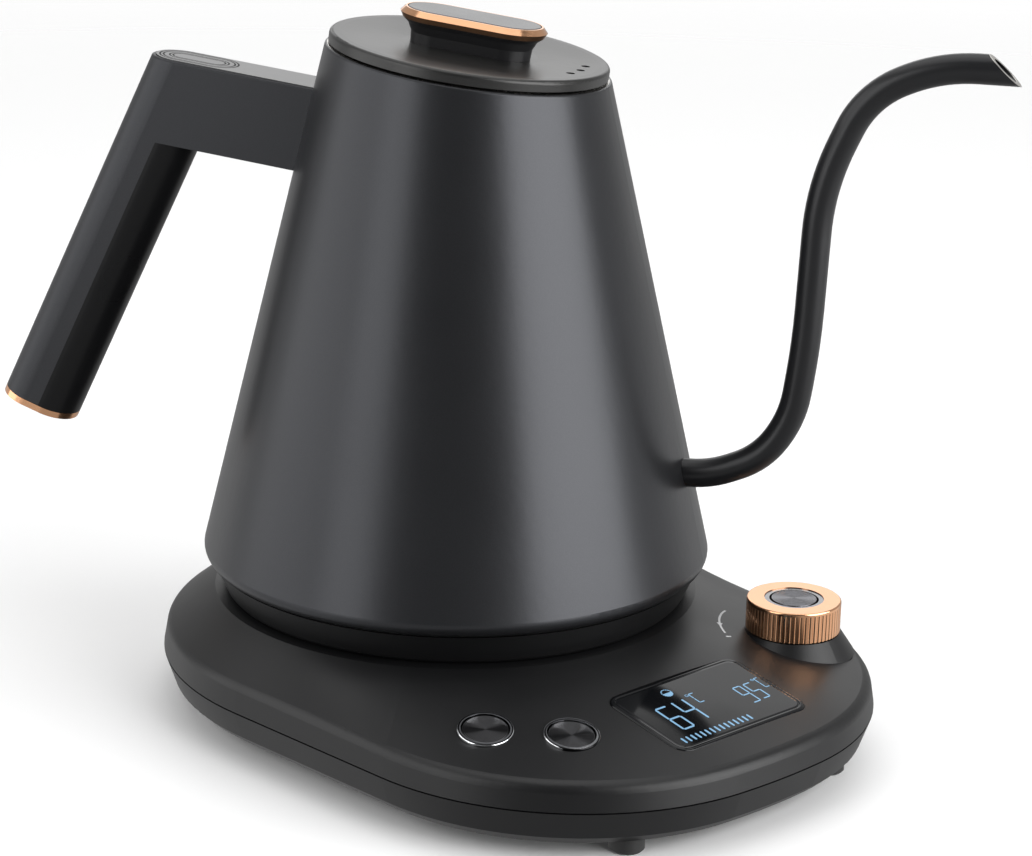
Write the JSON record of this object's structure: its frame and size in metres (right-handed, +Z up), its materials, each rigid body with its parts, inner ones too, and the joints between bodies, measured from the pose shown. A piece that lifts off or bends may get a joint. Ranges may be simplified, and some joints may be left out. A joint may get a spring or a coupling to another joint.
{
  "type": "gooseneck electric kettle",
  "caption": "Conical gooseneck kettle with a slanted lid and angled handle on a round-backed control base with a display, push buttons and a turning knob.",
  "frame": {"origin": "middle of the whole object's footprint box, at the bottom of the feet", "axes": "+Z up, +X towards the spout with the handle towards -X; the base's controls face 33.6 degrees from +X towards -Y"},
  "size_m": [0.2876, 0.1941, 0.1971],
  "materials": {
    "black_plastic": "soft satin, fine grain",
    "rubber": "matt",
    "zinc_steel": "zinc plated",
    "black_plastic_soft": "matt",
    "display_glass": "polished window",
    "module_plastic": "matt",
    "chrome_trim": "polished",
    "button_metal": "spun, dark anodised",
    "switch_plastic": "matt",
    "board_green": "solder mask",
    "copper_trim": "polished rose gold plating",
    "contact_brass": "turned",
    "charcoal_paint": "satin charcoal",
    "inner_steel": "brushed",
    "cast_alloy": "as cast",
    "black_paint": "satin black",
    "charcoal_plastic": "satin",
    "grey_inlay": "satin",
    "gloss_black": "polished",
    "silicone": "translucent white"
  },
  "bodies": {
    "base": {"base_top_cover": "black_plastic", "base_housing": "black_plastic", "rubber_feet": "rubber", "housing_screws": "zinc_steel", "cable_gland": "black_plastic_soft", "display_window": "display_glass", "display_module": "module_plastic", "button_bezels": "chrome_trim", "tact_switches": "switch_plastic", "control_board": "board_green", "buzzer": "switch_plastic", "knob_encoder": "switch_plastic", "knob_switch": "switch_plastic", "power_board": "board_green", "power_relay": "switch_plastic", "filter_capacitor": "switch_plastic", "base_plug": "black_plastic_soft", "contact_rings": "contact_brass"},
    "left_button": {"button_left": "button_metal"},
    "right_button": {"button_right": "button_metal"},
    "knob": {"control_knob": "copper_trim", "knob_collar": "chrome_trim"},
    "knob_push": {"knob_button": "button_metal"},
    "socket": {"kettle_socket": "black_plastic_soft"},
    "kettle": {"kettle_body": "charcoal_paint", "kettle_floor": "inner_steel", "mouth_ring": "inner_steel", "bottom_ring": "black_plastic", "heat_plate": "cast_alloy", "heating_element": "inner_steel", "temperature_probe": "inner_steel", "boil_dry_cutout": "switch_plastic", "spout": "black_paint", "handle_shell": "charcoal_plastic", "handle_inlay": "grey_inlay", "grip_liner": "gloss_black", "grip_end_cap": "copper_trim", "handle_bracket": "inner_steel", "handle_screws": "zinc_steel"},
    "lid": {"lid_disc": "charcoal_paint", "lid_plug": "black_plastic_soft", "lid_seal": "silicone", "lid_knob_stem": "charcoal_plastic", "lid_knob_ring": "copper_trim", "lid_knob_inlay": "gloss_black", "lid_screw": "zinc_steel"}
  },
  "joints": [
    {"name": "kettle_lift", "type": "slide", "parent": "base", "child": "socket", "axis": [0, 0, 1], "range_m": [0, 0.1]},
    {"name": "kettle_swivel", "type": "hinge", "parent": "socket", "child": "kettle", "pos_m": [-0.00597, 0.01336, 0.036], "axis": [0, 0, 1], "continuous": true},
    {"name": "lid_lift", "type": "slide", "parent": "kettle", "child": "lid", "axis": [0.1243, 0, 0.9922], "range_m": [0, 0.06]},
    {"name": "left_button_press", "type": "slide", "parent": "base", "child": "left_button", "axis": [-0.0728, 0.2011, -0.9769], "range_m": [0, 0.0008], "stiffness_N_per_m": 900, "springref_m": -0.0005},
    {"name": "right_button_press", "type": "slide", "parent": "base", "child": "right_button", "axis": [-0.0976, 0.1547, -0.9831], "range_m": [0, 0.0008], "stiffness_N_per_m": 900, "springref_m": -0.0005},
    {"name": "knob_turn", "type": "hinge", "parent": "base", "child": "knob", "pos_m": [0.09213, 0.01194, 0.0295], "axis": [0, 0, 1], "continuous": true},
    {"name": "knob_press", "type": "slide", "parent": "base", "child": "knob_push", "axis": [0, 0, -1], "range_m": [0, 0.0008], "stiffness_N_per_m": 900, "springref_m": -0.0005}
  ]
}
